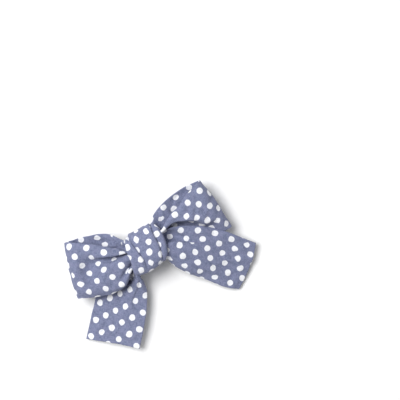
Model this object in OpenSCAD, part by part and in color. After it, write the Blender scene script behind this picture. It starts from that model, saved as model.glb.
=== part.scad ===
// Hand-tied fabric hair bow on a lined metal alligator clip.
// Frame: +X towards the wearer's right loop as seen from the front, +Y up, +Z out of the front of the bow.
// Origin: on the plane the clip rests on, straight under the middle of the knot.

/* [Fabric strip] */
// Finished width of the folded cotton strip
strip_w = 27; // [25:0.5:29]
// Thickness of the two cotton layers together
cloth_t = 0.8; // [0.6:0.1:1]
// Extra thickness of a fully gathered strip end
gather_t = 1.6; // [0.8:0.1:1.8]

/* [Knot] */
// Half of the knot's height, along Y
knot_half_y = 10.2; // [9.8:0.1:10.6]
// Half of the knot's depth, along Z
knot_half_z = 6.2; // [6:0.1:6.6]
// Thickness of the gathered band round the knot
wrap_t = 1; // [0.8:0.1:1.1]
// Width of the band round the knot, along X
wrap_w = 17; // [16:0.5:17.5]

/* [Clip] */
// Length of the clip's top plate
clip_len = 47; // [46:0.5:48]
// Width of the clip's top plate
clip_w = 8.4; // [8.4:0.1:8.8]
// Thickness of the sheet steel
steel_t = 0.6; // [0.5:0.05:0.6]
// Height of the top plate's underside above the resting plane
plate_z = 6; // [6:0.1:6.4]
// Radius of the hinge pin
pin_r = 0.65; // [0.6:0.01:0.65]
// Radial clearance of the lower jaw's ears on the pin
pin_gap = 0.05; // [0.03:0.01:0.08]

/* [Spring] */
// Radius of the spring wire
wire_r = 0.22; // [0.18:0.01:0.24]
// Radius of the coil, to the middle of the wire
coil_r = 1.2; // [1.1:0.05:1.25]
// Whole turns in the coil
coil_turns = 4; // [3:1:5]

/* [Linings and backing] */
// Thickness of the grosgrain lining
lining_t = 0.38; // [0.3:0.02:0.38]
// Thickness of the glue film
glue_t = 0.3; // [0.2:0.05:0.4]
// Thickness of the felt pad
felt_t = 0.8; // [0.6:0.1:1]

/* [Hidden] */

fabric_colour = [0.46, 0.5, 0.66];
steel_colour = "silver";
seat_gap = 0.02;                                     // between faces that lie on each other
felt_z = plate_z + steel_t + seat_gap + lining_t + glue_t;
knot_z = felt_z + felt_t + 0.1 + knot_half_z;        // height of the knot's middle
hinge_x = 9;
hinge_z = plate_z - 2.1;
clip_x0 = -clip_len / 2;
clip_x1 = clip_len / 2;
jaw_z = lining_t + seat_gap + steel_t / 2;           // mid-plane of the lower jaw where it rests
ear_t = 0.5;
ear_gap = 0.3;                                       // between an upper ear and the lower ear inside it
ear_y = clip_w / 2 - ear_t;                          // inner face of the upper ears
lower_ear_y = ear_y - ear_gap - ear_t;               // inner face of the lower ears

// Rails: each row is [upper edge point, lower edge point] of the strip, from the front of the knot
// outwards. Heights are from the middle of the knot. A loop runs out, turns and comes back behind.
LEFT_LOOP = [
    [[-7.8, 4.4, 1.6], [-7.8, -4.8, 0.4]],
    [[-13, 6.6, 2.6], [-14.5, -10.6, 0.2]],
    [[-23, 13.7, 1.8], [-24.5, -12, -2]],
    [[-30.5, 17.6, -1.8], [-34, -9.6, -4.8]],
    [[-33.1, 19.1, -4.6], [-38.8, -7.6, -7]],
    [[-30.5, 18.8, -6.2], [-34.5, -7, -8.4]],
    [[-23.5, 17.4, -6], [-24, -6, -6.2]],
    [[-13.4, 13.6, -4], [-14, -2, -3.4]],
    [[-7.8, 6.4, -2.2], [-7.8, 0.8, -2]]];
RIGHT_LOOP = [
    [[7.9, 6.2, 2.6], [7.9, 3.8, 2.4]],
    [[14, 8.2, 3], [14.5, 4.9, 2.6]],
    [[24, 13.4, 1.6], [25, 2.4, 0.2]],
    [[32.5, 17, -1.8], [34.5, -5, -4.2]],
    [[35.9, 18.8, -4.6], [38.9, -7.8, -7.2]],
    [[33, 19, -6.2], [35, -7.6, -8.8]],
    [[24.6, 18, -6], [25, -6, -6.2]],
    [[14.6, 15.6, -4.4], [14.4, -4, -4.6]],
    [[7.8, 7.4, -2.6], [7.8, -2.4, -2.8]]];
LEFT_TAIL = [
    [[-7.8, -1, -3.2], [-7.8, -6, -2.9]],
    [[-15, -4, -5.4], [-9.9, -11, -6.2]],
    [[-25.5, -6.6, -8.5], [-9.2, -18.8, -7.2]],
    [[-35, -14.2, -10.2], [-14.4, -28.6, -8.4]],
    [[-44.5, -26.2, -12.2], [-23.7, -40.9, -9.9]]];
RIGHT_TAIL = [
    [[7.9, 3.2, 0], [7.9, -6.6, -1.2]],
    [[16, 3, -0.6], [10.6, -16, -2.8]],
    [[26, 0, -2.6], [18, -24.6, -6]],
    [[38, -9.4, -6], [24.6, -31.8, -10.4]],
    [[48, -19.3, -10.4], [29.9, -35.4, -13.8]]];

section_n = 16;       // points round one section of a strip
rail_steps = 4;       // sections from one row of a rail to the next

// Helpers ---------------------------------------------------------------------------------------

function unit(v) = v / norm(v);
function signed_pow(x, e) = sign(x) * pow(abs(x), e);

// A point on the smooth curve through p1 and p2, with p0 and p3 on either side.
function spline(p0, p1, p2, p3, t) =
    0.5 * (2 * p1 + (p2 - p0) * t + (2 * p0 - 5 * p1 + 4 * p2 - p3) * t * t
           + (3 * p1 - p0 - 3 * p2 + p3) * t * t * t);

function along(points, u) =
    let (last = len(points) - 1, i = min(floor(u), last - 1))
    spline(points[max(i - 1, 0)], points[i], points[i + 1], points[min(i + 2, last)], u - i);

// One flattened oval section of a strip, thicker where the strip is gathered narrow.
function strip_section(upper, lower, tangent) =
    let (side = unit(lower - upper), out = unit(cross(tangent, side)), mid = (upper + lower) / 2,
         chord = norm(lower - upper), thick = cloth_t + gather_t * max(0, 1 - chord / strip_w))
    [for (k = [0:section_n - 1]) let (a = 360 * k / section_n)
        mid + side * chord / 2 * signed_pow(cos(a), 0.4) + out * thick / 2 * signed_pow(sin(a), 0.5)];

// A closed solid through rings of points that all have the same count.
module loft(rings) {
    n = len(rings[0]);
    last = len(rings) - 1;
    points = [for (ring = rings) for (p = ring) p];
    walls = [for (i = [0:last - 1]) for (k = [0:n - 1])
        [i * n + k, i * n + (k + 1) % n, (i + 1) * n + (k + 1) % n, (i + 1) * n + k]];
    near_cap = [[for (k = [n - 1:-1:0]) k]];
    far_cap = [[for (k = [0:n - 1]) last * n + k]];
    polyhedron(points, concat(walls, near_cap, far_cap));
}

// A fabric strip between its two edge rails, lifted to the knot's height.
module strip(rails) {
    upper = [for (row = rails) row[0]];
    lower = [for (row = rails) row[1]];
    count = (len(rails) - 1) * rail_steps;
    step = 1 / rail_steps;
    translate([0, 0, knot_z])
        loft([for (i = [0:count]) let (u = i * step, a = max(u - 0.05, 0), b = min(u + 0.05, len(rails) - 1))
            strip_section(along(upper, u), along(lower, u),
                          along(upper, b) + along(lower, b) - along(upper, a) - along(lower, a))]);
}

function superellipse(half_y, half_z, n = 72, e = 2 / 2.6) =
    [for (k = [0:n - 1]) [half_y * signed_pow(cos(360 * k / n), e), half_z * signed_pow(sin(360 * k / n), e)]];

function rounded_rect(x0, x1, half_y, r, n = 6) =
    [for (c = [[x1 - r, half_y - r, 0], [x0 + r, half_y - r, 90], [x0 + r, r - half_y, 180], [x1 - r, r - half_y, 270]])
        for (k = [0:n]) [c[0] + r * cos(c[2] + 90 * k / n), c[1] + r * sin(c[2] + 90 * k / n)]];

// A path with its corners rounded, each from reach before the corner to reach after it.
function rounded_path(path, reach, n = 5) =
    concat([path[0]],
           [for (i = [1:len(path) - 2])
               let (c = path[i], a = c - reach * unit(c - path[i - 1]), b = c + reach * unit(path[i + 1] - c))
               for (k = [0:n]) let (t = k / n) (1 - t) * (1 - t) * a + 2 * t * (1 - t) * c + t * t * b],
           [path[len(path) - 1]]);

// The outline of a sheet that follows a path, from low below it to high above it.
function sheet_outline(path, low, high) =
    let (last = len(path) - 1,
         normals = [for (i = [0:last]) let (d = unit(path[min(i + 1, last)] - path[max(i - 1, 0)])) [-d[1], d[0]]])
    concat([for (i = [0:last]) path[i] + normals[i] * low], [for (i = [last:-1:0]) path[i] + normals[i] * high]);

// Stands a 2D outline drawn in X and Z up, and gives it a width along Y.
module across(width, y = 0) {
    translate([0, y + width / 2, 0]) rotate([90, 0, 0]) linear_extrude(width) children();
}

// Stands a 2D outline drawn in Y and Z up, and gives it a length along X from x0.
module lengthways(x0, length) {
    translate([x0, 0, 0]) rotate([90, 0, 90]) linear_extrude(length) children();
}

// A round bar along Y, centred on y = 0.
module cross_bar(x, z, r, length) {
    translate([x, 0, z]) rotate([90, 0, 0]) cylinder(r = r, h = length, center = true, $fn = 48);
}

// Fabric ----------------------------------------------------------------------------------------

module left_loop() { color(fabric_colour) strip(LEFT_LOOP); }
module right_loop() { color(fabric_colour) strip(RIGHT_LOOP); }
module left_tail() { color(fabric_colour) strip(LEFT_TAIL); }
module right_tail() { color(fabric_colour) strip(RIGHT_TAIL); }

// The pass of the strip that goes right round the middle and makes the knot.
module knot_wrap() {
    color(fabric_colour)
        translate([0, 0, knot_z])
            lengthways(-wrap_w / 2, wrap_w)
                difference() {
                    polygon(superellipse(knot_half_y, knot_half_z));
                    polygon(superellipse(knot_half_y - wrap_t, knot_half_z - wrap_t));
                }
}

// The crossed strips inside the knot, as one bundle.
module knot_core() {
    core_w = 15;
    color(fabric_colour)
        translate([0, 0, knot_z])
            lengthways(-core_w / 2, core_w)
                polygon(superellipse(knot_half_y - wrap_t - 0.15, knot_half_z - wrap_t - 0.15));
}

// Backing ---------------------------------------------------------------------------------------

module felt_pad() {
    color("slategray")
        translate([0, 0, felt_z]) linear_extrude(felt_t) polygon(rounded_rect(-11.5, 11.5, 7, 3));
}

module glue_film() {
    color("ivory")
        translate([0, 0, felt_z - glue_t]) linear_extrude(glue_t) polygon(rounded_rect(-10.5, 10.5, 3.6, 2));
}

// Hand stitches that hold the knot to the felt, three along each edge.
module tacking_stitches() {
    thread_r = 0.17;
    stitch = 2.4;
    color("lightsteelblue")
        for (x = [-4.2, 0, 4.2], y = [-5.7, 5.7])
            translate([x, y, felt_z - thread_r - seat_gap]) {
                rotate([0, 90, 0]) cylinder(r = thread_r, h = stitch, center = true, $fn = 24);
                for (end = [-1, 1]) translate([end * stitch / 2, 0, 0]) sphere(r = thread_r, $fn = 24);
            }
}

// Ribbon over the top plate, turned round the end of the finger lever and a little way back under it.
module top_lining() {
    top = plate_z + steel_t + seat_gap;
    under = plate_z - seat_gap;
    end = clip_x1 + seat_gap;
    x0 = clip_x0 + 0.3;
    turn_back = 14;
    color("steelblue")
        across(clip_w - 0.4)
            polygon([[x0, top], [end, top], [end, under], [turn_back, under], [turn_back, under - lining_t],
                     [end + lining_t, under - lining_t], [end + lining_t, top + lining_t], [x0, top + lining_t]]);
}

// Ribbon on the inside of the top plate, which grips the hair.
module grip_lining() {
    z = plate_z - seat_gap - lining_t;
    color("steelblue")
        translate([0, 0, z]) linear_extrude(lining_t) polygon(rounded_rect(clip_x0 + 1, 4.5, ear_y - 0.4, 0.8));
}

// Clip ------------------------------------------------------------------------------------------

seat_z = hinge_z - 2.1;                              // mid-plane of the lower jaw under the hinge

// Mid-line of the lower jaw: gripping tip, prong, hinge seat and finger lever.
JAW_CORNERS = [[clip_x0 + 0.9, plate_z - 1.05], [clip_x0 + 2.9, plate_z - 1.05], [-11.5, jaw_z], [1.2, jaw_z],
               [5.2, seat_z], [12.2, seat_z], [17.4, jaw_z], [clip_x1 - 0.1, jaw_z]];
jaw_path = rounded_path(JAW_CORNERS, 0.9);
prong_w = 5.4;

// The plan of the lower jaw or of its lining, smaller all round by inset.
module jaw_plan(inset = 0) {
    x0 = clip_x0 + 0.9 + inset;
    lever_half = clip_w / 2 - inset;
    seat_half = ear_y - ear_gap - inset;
    prong_half = prong_w / 2 - inset;
    polygon([[x0, -prong_half], [x0, prong_half], [4, prong_half], [5.8, seat_half], [12.2, seat_half],
             [13.4, lever_half], [clip_x1 - 1.2, lever_half], [clip_x1 - 0.1 - inset, lever_half - 1.1],
             [clip_x1 - 0.1 - inset, 1.1 - lever_half], [clip_x1 - 1.2, -lever_half], [13.4, -lever_half],
             [12.2, -seat_half], [5.8, -seat_half], [4, -prong_half]]);
}

// An ear round the hinge, from a foot at foot_z, on both sides; inner is its inner face.
module ears(inner, r, foot_half, foot_z) {
    for (side = [-1, 1])
        across(ear_t, side * (inner + ear_t / 2)) {
            translate([hinge_x, hinge_z]) circle(r = r, $fn = 48);
            polygon([[hinge_x - foot_half, foot_z], [hinge_x + foot_half, foot_z],
                     [hinge_x + r * 0.94, hinge_z + 0.34 * r * sign(foot_z - hinge_z)],
                     [hinge_x - r * 0.94, hinge_z + 0.34 * r * sign(foot_z - hinge_z)]]);
        }
}

// Flat top plate with its ears, and a lip with teeth at the tip.
module clip_top_jaw() {
    teeth = 6;
    lip_half = clip_w / 2 - 0.8;
    tooth = 2 * lip_half / teeth;
    lip_z = plate_z - 1;
    color(steel_colour)
        difference() {
            union() {
                translate([0, 0, plate_z]) linear_extrude(steel_t)
                    polygon(rounded_rect(clip_x0, clip_x1, clip_w / 2, 1.2));
                ears(ear_y, 1.45, 3, plate_z + 0.1);
                lengthways(clip_x0, 0.5)
                    polygon(concat([[lip_half, plate_z + 0.1], [-lip_half, plate_z + 0.1]],
                                   [for (k = [0:teeth]) each
                                       (k < teeth ? [[-lip_half + k * tooth, lip_z],
                                                     [-lip_half + (k + 0.5) * tooth, lip_z - 0.7]]
                                                  : [[lip_half, lip_z]])]));
            }
            cross_bar(hinge_x, hinge_z, pin_r, clip_w + 2);
        }
}

// Lower jaw: one bent strip of steel with two ears inside the upper ones.
module clip_bottom_jaw() {
    color(steel_colour)
        difference() {
            union() {
                intersection() {
                    across(clip_w + 2) polygon(sheet_outline(jaw_path, -steel_t / 2, steel_t / 2));
                    linear_extrude(plate_z + 2) jaw_plan();
                }
                ears(lower_ear_y, 1.4, 2.6, seat_z);
            }
            cross_bar(hinge_x, hinge_z, pin_r + pin_gap, clip_w + 2);
        }
}

// Ribbon under the lower jaw, which is what the bow rests on.
module bottom_lining() {
    outer = steel_t / 2 + seat_gap;
    color("steelblue")
        intersection() {
            across(clip_w + 2) polygon(sheet_outline(jaw_path, -outer - lining_t, -outer));
            translate([0, 0, -1]) linear_extrude(plate_z + 2) jaw_plan(0.25);
        }
}

// Pin pressed into the upper ears, with a peened head at each end.
module hinge_pin() {
    head_t = 0.35;
    color(steel_colour) {
        cross_bar(hinge_x, hinge_z, pin_r, clip_w + 0.1);
        for (side = [-1, 1])
            translate([hinge_x, side * (clip_w / 2 + 0.02), hinge_z]) rotate([-90 * side, 0, 0])
                cylinder(r1 = 1.05, r2 = 0.75, h = head_t, $fn = 48);
    }
}

// Torsion spring: upper leg, coil round the pin, lower leg.
module torsion_spring() {
    sides = 8;
    per_turn = 18;
    pitch = 2 * wire_r + 0.08;
    turn_n = coil_turns * per_turn + per_turn / 2;
    half_len = pitch * turn_n / per_turn / 2;
    leg_x = 16.8;
    leg_high = plate_z - seat_gap - lining_t - wire_r - 0.08;
    leg_low = jaw_z + 1.05;
    coil = [for (i = [0:turn_n]) let (a = 90 + 360 * i / per_turn)
        [[hinge_x + coil_r * cos(a), -half_len + i * pitch / per_turn, hinge_z + coil_r * sin(a)],
         [cos(a), 0, sin(a)]]];
    path = concat([[[leg_x, -half_len, leg_high], [0, 0, 1]], [[hinge_x + 2.2, -half_len, hinge_z + coil_r], [0, 0, 1]]],
                  coil,
                  [[[hinge_x + 2.2, half_len, hinge_z - coil_r], [0, 0, -1]], [[leg_x, half_len, leg_low], [0, 0, -1]]]);
    color("gainsboro")
        loft([for (p = path) [for (k = [0:sides - 1]) let (a = 360 * k / sides)
            p[0] + wire_r * (cos(a) * p[1] + sin(a) * [0, 1, 0])]]);
}

left_loop();
right_loop();
left_tail();
right_tail();
knot_wrap();
knot_core();
felt_pad();
glue_film();
tacking_stitches();
top_lining();
grip_lining();
bottom_lining();
clip_top_jaw();
clip_bottom_jaw();
hinge_pin();
torsion_spring();
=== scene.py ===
"""A hand-tied cotton hair bow on a lined alligator clip: its cloth, linings and finishes, round the CAD frame.

Lengths in this file are millimetres until a mesh is made, and metres after that.
"""

import math
import bpy
import numpy as np
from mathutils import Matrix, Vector


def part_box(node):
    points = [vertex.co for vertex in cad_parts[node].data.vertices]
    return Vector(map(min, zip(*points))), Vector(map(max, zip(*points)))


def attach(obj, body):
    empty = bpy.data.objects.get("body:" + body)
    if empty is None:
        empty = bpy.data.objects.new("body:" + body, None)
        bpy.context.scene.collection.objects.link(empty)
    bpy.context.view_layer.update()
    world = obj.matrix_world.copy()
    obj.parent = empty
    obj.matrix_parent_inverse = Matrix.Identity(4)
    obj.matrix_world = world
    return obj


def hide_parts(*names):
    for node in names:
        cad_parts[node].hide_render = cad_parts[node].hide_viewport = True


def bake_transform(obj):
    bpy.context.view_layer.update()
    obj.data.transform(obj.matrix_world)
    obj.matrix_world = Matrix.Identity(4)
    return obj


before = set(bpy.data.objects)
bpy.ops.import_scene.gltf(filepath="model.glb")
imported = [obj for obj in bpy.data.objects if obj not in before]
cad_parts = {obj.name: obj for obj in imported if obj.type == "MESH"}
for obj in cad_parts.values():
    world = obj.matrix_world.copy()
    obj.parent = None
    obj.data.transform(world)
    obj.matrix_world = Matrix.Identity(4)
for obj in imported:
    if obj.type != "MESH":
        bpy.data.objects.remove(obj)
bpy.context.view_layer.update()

MM = 0.001
STRIP_W = 27.0  # the folded strip's width
PLY = 0.34  # half the thickness of the folded strip


def mm_box(node):
    """A CAD node's low and high corners in millimetres."""
    return [np.array(c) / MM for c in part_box(node)]


knot_low, knot_high = mm_box("knot_wrap")
KNOT_Z = (knot_low[2] + knot_high[2]) / 2  # height of the knot's middle


# ---- Curves and grids ----

def unit(v):
    """The same directions, one long."""
    return v / np.maximum(np.linalg.norm(v, axis=-1, keepdims=True), 1e-9)


def spline(points, knots, at):
    """A smooth curve through points at rising knots, read off at the given places."""
    points, knots = np.asarray(points, float), np.asarray(knots, float)
    shape = (-1,) + (1,) * (points.ndim - 1)
    h = np.diff(knots).reshape(shape)
    slope = np.diff(points, axis=0) / h
    tangent = np.concatenate([slope[:1], (slope[:-1] * h[1:] + slope[1:] * h[:-1]) / (h[1:] + h[:-1]), slope[-1:]])
    i = np.clip(np.searchsorted(knots, at, side="right") - 1, 0, len(knots) - 2)
    t = ((np.asarray(at, float) - knots[i]) / (knots[i + 1] - knots[i])).reshape(shape)
    return ((2 * t ** 3 - 3 * t ** 2 + 1) * points[i] + (t ** 3 - 2 * t ** 2 + t) * h[i] * tangent[i]
            + (3 * t ** 2 - 2 * t ** 3) * points[i + 1] + (t ** 3 - t ** 2) * h[i] * tangent[i + 1])


def rows_at(values, at):
    """Smooth interpolation of rows of values at fractional row numbers."""
    return spline(values, np.arange(len(values)), at)


def grid_at(values, rows, columns):
    """Smooth interpolation of a grid of values at fractional row and column numbers."""
    return np.swapaxes(rows_at(np.swapaxes(rows_at(values, rows), 0, 1), columns), 0, 1)


def path_lengths(points):
    """Distance along a line of points to each of them."""
    return np.concatenate([[0], np.cumsum(np.linalg.norm(np.diff(points, axis=0), axis=1))])


def run_lengths(grid):
    """Distance along the strip to each row of the grid, averaged across it."""
    steps = np.linalg.norm(np.diff(grid, axis=0), axis=2).mean(1)
    return np.concatenate([[0], np.cumsum(steps)])


def surface(net, pitch=0.35, n_wide=109):
    """A sheet through a net of control points: rows along the strip, each from its upper edge to its lower one. Its
    points are evenly spaced along the strip, and by arc length across it."""
    net = np.asarray(net, float)
    knots = run_lengths(net)
    count = 4 * int(round(knots[-1] / pitch / 4))
    along = spline(net, knots, np.linspace(0, knots[-1], count + 1))
    grid = []
    for station in along:
        gaps = np.linalg.norm(np.diff(station, axis=0), axis=1)
        knots = np.concatenate([[0], np.cumsum(np.sqrt(gaps + 1e-3))])
        dense = spline(station, knots, np.linspace(0, knots[-1], 500))
        arc = path_lengths(dense)
        even = np.linspace(0, arc[-1], n_wide)
        grid.append(np.stack([np.interp(even, arc, dense[:, k]) for k in range(3)], 1))
    return np.array(grid)


def cloth_map(grid, anchor, step=4, rounds=900, ease=0.22):
    """Where each grid point lies on the flat cloth, in millimetres: x across from the strip's upper edge, y along
    from the anchor row. A net of springs as long as the cloth between its knots is relaxed on the plane."""
    n_long, n_wide = grid.shape[:2]

    def walked(di, dj):
        """Cloth length of one net step in each direction."""
        i, j = np.arange(0, n_long, step), np.arange(0, n_wide, step)
        i = i[:len(i) - 1] if di else i
        j = j[:len(j) - 1] if dj else j
        j = j if dj >= 0 else j + step
        total = np.zeros((len(i), len(j)))
        for k in range(step):
            a = grid[np.ix_(i + k * di, j + k * dj)]
            b = grid[np.ix_(i + (k + 1) * di, j + (k + 1) * dj)]
            total += np.linalg.norm(b - a, axis=2)
        return total

    along, across, down, rise = walked(1, 0), walked(0, 1), walked(1, 1), walked(1, -1)
    x = np.concatenate([np.zeros((len(across), 1)), np.cumsum(across, 1)], 1)
    y = np.concatenate([np.zeros((1, along.shape[1])), np.cumsum(along, 0)])
    flat = np.stack([x, y], -1)
    row = int(round(anchor / step))
    springs = [(np.s_[:-1, :], np.s_[1:, :], along), (np.s_[:, :-1], np.s_[:, 1:], across),
               (np.s_[:-1, :-1], np.s_[1:, 1:], down), (np.s_[:-1, 1:], np.s_[1:, :-1], rise)]
    for _ in range(rounds):
        push = np.zeros_like(flat)
        for a, b, length in springs:
            d = flat[b] - flat[a]
            now = np.linalg.norm(d, axis=2)
            d *= ((now - length) / np.maximum(now, 1e-6) * ease)[..., None]
            push[a] += d
            push[b] -= d
        flat += push
    way = flat[row, -1] - flat[row, 0]
    c, s = way / np.hypot(*way)
    flat = (flat - flat[row, 0]) @ np.array([[c, -s], [s, c]])
    fine = grid_at(flat, np.arange(n_long) / step, np.arange(n_wide) / step)
    return fine[..., 0], fine[..., 1]


def grid_normals(grid):
    """Directions square to a grid's surface."""
    return unit(np.cross(np.gradient(grid, axis=0), np.gradient(grid, axis=1)))


def value_noise(x, y, seed):
    """Smooth noise from -1 to 1 on two coordinate arrays."""
    def corner(i, j):
        h = np.sin(i * 127.1 + j * 311.7 + seed * 74.7) * 43758.5453
        return (h - np.floor(h)) * 2 - 1
    i, j = np.floor(x), np.floor(y)
    fx, fy = x - i, y - j
    fx, fy = fx * fx * (3 - 2 * fx), fy * fy * (3 - 2 * fy)
    top = corner(i, j) * (1 - fx) + corner(i + 1, j) * fx
    low = corner(i, j + 1) * (1 - fx) + corner(i + 1, j + 1) * fx
    return top * (1 - fy) + low * fy


# ---- Cloth ----

SIM_SCALE = 0.025  # one millimetre of strip is simulated as 25 mm
GRIP = 6  # length of strip that the knot holds, in millimetres
SLACK_PATCH = (3.2, 2.6)  # size of a patch of slack, along and across
LIGHT = 0.008  # share of the gravity, so that it does not flatten the loops
LIMP_COTTON = dict(
    quality=6, mass=0.3, tension_stiffness=15, compression_stiffness=15, shear_stiffness=5, bending_stiffness=0.8,
    tension_damping=5, compression_damping=5, shear_damping=5, bending_damping=0.5, air_damping=3,
    shrink_min=-0.06, shrink_max=0.03)


def settle(name, grid, seed, hold_ends, frames=18, give=0.6):
    """Lets a strip settle as real cloth, pinned where the knot grips it. The cloth is eased in patches, a few parts
    in a hundred, so that it puckers as handled cotton does. No point may move more than give."""
    step = 3  # the cloth is simulated on every third point
    coarse = grid[::step, ::step]
    n_long, n_wide = coarse.shape[:2]
    mesh = bpy.data.meshes.new(name)
    k = np.arange(n_long * n_wide).reshape(n_long, n_wide)
    faces = np.stack([k[:-1, :-1], k[1:, :-1], k[1:, 1:], k[:-1, 1:]], -1).reshape(-1, 4)
    mesh.from_pydata((coarse.reshape(-1, 3) * SIM_SCALE).tolist(), [], faces.tolist())
    obj = bpy.data.objects.new(name, mesh)
    bpy.context.scene.collection.objects.link(obj)
    length = run_lengths(coarse)
    held = length < GRIP
    if hold_ends:
        held |= length > length[-1] - GRIP
    across = np.linspace(0, STRIP_W, n_wide)
    at, over = np.broadcast_arrays(length[:, None] / SLACK_PATCH[0], across / SLACK_PATCH[1])
    slack = (value_noise(at + seed, over, seed) + 1) / 2
    hold = np.repeat(held[:, None], n_wide, 1).astype(float)
    for label, weights in (("hold", hold), ("slack", np.round(slack, 1))):
        group = obj.vertex_groups.new(name=label)
        for level in np.unique(weights):
            if level > 0:
                group.add([int(m) for m in np.flatnonzero(weights.ravel() == level)], float(level), "REPLACE")
    modifier = obj.modifiers.new("cloth", "CLOTH")
    cloth = modifier.settings
    for key, value in LIMP_COTTON.items():
        setattr(cloth, key, value)
    cloth.effector_weights.gravity = LIGHT
    cloth.vertex_group_mass = "hold"
    cloth.vertex_group_shrink = "slack"
    modifier.collision_settings.use_collision = False
    modifier.collision_settings.use_self_collision = False
    modifier.point_cache.frame_start = 1
    modifier.point_cache.frame_end = frames
    for f in range(1, frames + 1):
        bpy.context.scene.frame_set(f)
    shown = obj.evaluated_get(bpy.context.evaluated_depsgraph_get())
    co = np.empty(n_long * n_wide * 3)
    shown.data.vertices.foreach_get("co", co)
    bpy.context.scene.frame_set(1)
    bpy.data.objects.remove(obj)
    bpy.data.meshes.remove(mesh)
    moved = co.reshape(coarse.shape) / SIM_SCALE - coarse
    size = np.linalg.norm(moved, axis=2, keepdims=True)
    print(f"{name}: the cloth moved {size.mean():.2f} mm on average and {size.max():.2f} mm at most")
    moved = moved * give * np.tanh(size / give) / np.maximum(size, 1e-6)
    rows, columns = (np.minimum(np.arange(n) / step, m - 1) for n, m in zip(grid.shape[:2], (n_long, n_wide)))
    return grid + grid_at(moved, rows, columns)


def link_mesh(name, verts, faces, uvs=None):
    """A smooth piece from vertices, faces and one UV pair per face corner, all in millimetres."""
    mesh = bpy.data.meshes.new(name)
    mesh.from_pydata((np.asarray(verts) * MM).tolist(), [], [list(map(int, f)) for f in faces])
    if uvs is not None:
        layer = mesh.uv_layers.new(name="Cloth")
        layer.data.foreach_set("uv", np.asarray(uvs, np.float32).ravel())
    mesh.polygons.foreach_set("use_smooth", [True] * len(mesh.polygons))
    mesh.validate()
    mesh.update()
    obj = bpy.data.objects.new(name, mesh)
    bpy.context.scene.collection.objects.link(obj)
    return obj


def skin(name, front, back, u, v, width, ring=False, seam=()):
    """A closed piece from two grids that meet along their sides. u and v are the cloth's coordinates over the front;
    the back's u runs on from the width to twice the width. A ring's first and last rows coincide. seam is two pairs
    of rows of points inside the last end, upper and lower, to which the end's two layers turn in."""
    m = front.shape[1]
    loop = np.concatenate([front, back[:, -2:0:-1]], 1)
    if ring:
        loop = loop[:-1]
    verts = loop.reshape(-1, 3)
    k = np.arange(len(verts)).reshape(loop.shape[:2])
    if ring:
        k = np.concatenate([k, k[:1]])
    far_side = 2 * width - u
    u_from = np.concatenate([u[:, :-1], far_side[:, :0:-1]], 1)
    u_to = np.concatenate([u[:, 1:], far_side[:, -2::-1]], 1)
    v_from = np.concatenate([v[:, :-1], v[:, :0:-1]], 1)
    v_to = np.concatenate([v[:, 1:], v[:, -2::-1]], 1)
    k_to = np.roll(k, -1, 1)
    faces = [np.stack([k[:-1], k[1:], k_to[1:], k_to[:-1]], -1).reshape(-1, 4)]
    corners = ((u_from[:-1], v_from[:-1]), (u_from[1:], v_from[1:]), (u_to[1:], v_to[1:]), (u_to[:-1], v_to[:-1]))
    uvs = [np.stack([np.stack(corner, -1) for corner in corners], 2).reshape(-1, 4, 2)]
    for row in () if ring else (0, -1):
        levels = [(k[row, :m], np.concatenate([k[row, :1], k[row, :m - 1:-1], k[row, m - 1:m]]))]
        if row and len(seam):
            ids = len(verts) + np.arange(len(seam) * m).reshape(-1, m)
            verts = np.concatenate([verts, *seam])
            levels += list(zip(ids[::2], ids[1::2]))
        caps = [np.stack([a[:-1], a[1:], b[1:], b[:-1]], -1) for (t0, b0), (t1, b1) in zip(levels[:-1], levels[1:])
                for a, b in ((t0, t1), (b1, b0))]
        t, b = levels[-1]
        caps.append(np.stack([t[:-1], t[1:], b[1:], b[:-1]], -1))
        edge_uv = np.stack([u[row], v[row]], -1)
        cap_uv = np.stack([edge_uv[:-1], edge_uv[1:], edge_uv[1:], edge_uv[:-1]], 1)
        way = -1 if row else 1
        faces += [f[:, ::way] for f in caps]
        uvs += [cap_uv[:, ::way]] * len(caps)
    clean_faces, clean_uvs = [], []
    for f, w in zip(np.concatenate(faces), np.concatenate(uvs)):
        keep = [i for i in range(4) if f[i] != f[i - 1]]
        if len(keep) >= 3:
            clean_faces.append(f[keep])
            clean_uvs.extend(w[keep])
    return link_mesh(name, verts, clean_faces, clean_uvs)


def folded_strip(name, grid, anchor, ply=PLY, pitch=0.3, ring=False, cut_end=False, puff=0.12, seed=1):
    """A closed piece of folded cloth round a strip's middle surface: two layers that meet in round folded edges."""
    n_long, n_wide = grid.shape[:2]
    u_map, v_map = cloth_map(grid, anchor)
    count = int(round(run_lengths(grid)[-1] / pitch)) + 1
    bend = np.radians(np.array([0, 18, 38, 60, 80]))  # places of points round each folded edge
    rim = ply * 1.25
    inner = np.linspace(rim, STRIP_W - rim, int(STRIP_W / pitch))
    places = np.concatenate([rim * (1 - np.cos(bend)), inner, STRIP_W - rim * (1 - np.cos(bend[::-1]))])
    depth = np.concatenate([np.sin(bend), np.ones(len(inner)), np.sin(bend[::-1])])

    def refine(values):
        return grid_at(values, np.linspace(0, n_long - 1, count), places / STRIP_W * (n_wide - 1))

    fine, u, v = refine(grid), refine(u_map), refine(v_map)
    normal = grid_normals(fine)
    if ring:
        normal[0] = normal[-1] = unit(normal[0] + normal[-1])
    swell = 1 + puff * (value_noise(v / 5 + seed, u / 4, seed) + value_noise(v / 2.3, u / 2.1, seed + 5))
    if ring:
        swell[-1] = swell[0]
    offset = normal * (ply * depth * (1 + (swell - 1) * depth))[..., None]
    # At a cut end the two layers part a little, down to a seam inside.
    seam = [fine[at] + sign * offset[at] * 0.35 for at in (-1, -4) for sign in (1, -1)] if cut_end else []
    return skin(name, fine + offset, fine - offset, u, v, STRIP_W, ring, seam)


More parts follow.
